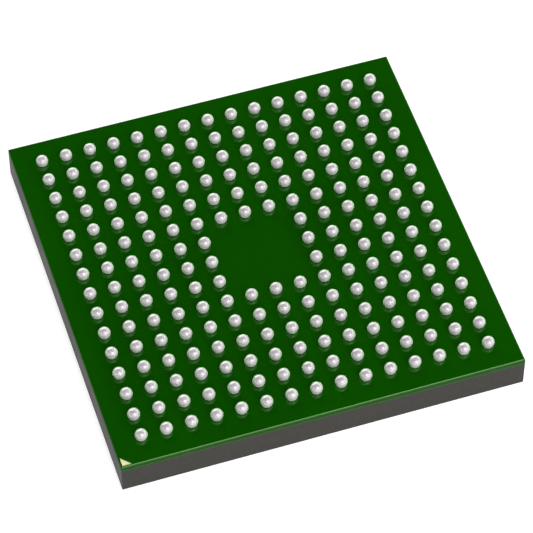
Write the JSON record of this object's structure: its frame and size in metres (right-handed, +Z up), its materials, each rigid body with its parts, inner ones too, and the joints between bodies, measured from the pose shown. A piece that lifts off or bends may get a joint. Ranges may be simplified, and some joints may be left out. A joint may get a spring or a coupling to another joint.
{
  "type": "ball grid array microcontroller",
  "caption": "Square moulded microcontroller lying ball side up: a dark mould cap under a glossy green laminate with a grid of solder balls, an open middle and a gold corner mark.",
  "frame": {"origin": "centre of the flat mould face, which rests on the ground", "axes": "+Z up through the laminate to the solder balls, the gold corner mark at -X -Y, ball columns counted along +X and ball rows lettered along +Y"},
  "size_m": [0.013, 0.013, 0.0015],
  "materials": {
    "mould_compound": "fine grained, saw cut sides",
    "solder_mask": "glossy",
    "laminate": "sawn glass cloth and resin",
    "copper": "etched",
    "gold_plating": "satin plating",
    "bond_wire_gold": "drawn wire",
    "solder": "reflowed, bright",
    "silicon": "polished",
    "attach_film": "cured film"
  },
  "bodies": {
    "root": {"mould_cap": "mould_compound", "die": "silicon", "die_attach_film": "attach_film", "bond_fingers": "copper", "die_side_copper": "copper", "ball_side_copper": "copper", "die_side_solder_mask": "solder_mask", "ball_side_solder_mask": "solder_mask", "laminate_core": "laminate", "a1_corner_mark": "gold_plating", "bond_wires_right": "bond_wire_gold", "bond_wires_far": "bond_wire_gold", "bond_wires_left": "bond_wire_gold", "bond_wires_near": "bond_wire_gold", "solder_balls_row_a": "solder", "solder_balls_row_b": "solder", "solder_balls_row_c": "solder", "solder_balls_row_d": "solder", "solder_balls_row_e": "solder", "solder_balls_row_f": "solder", "solder_balls_row_g": "solder", "solder_balls_row_h": "solder", "solder_balls_row_j": "solder", "solder_balls_row_k": "solder", "solder_balls_row_l": "solder", "solder_balls_row_m": "solder", "solder_balls_row_n": "solder", "solder_balls_row_p": "solder", "solder_balls_row_r": "solder"}
  },
  "joints": []
}
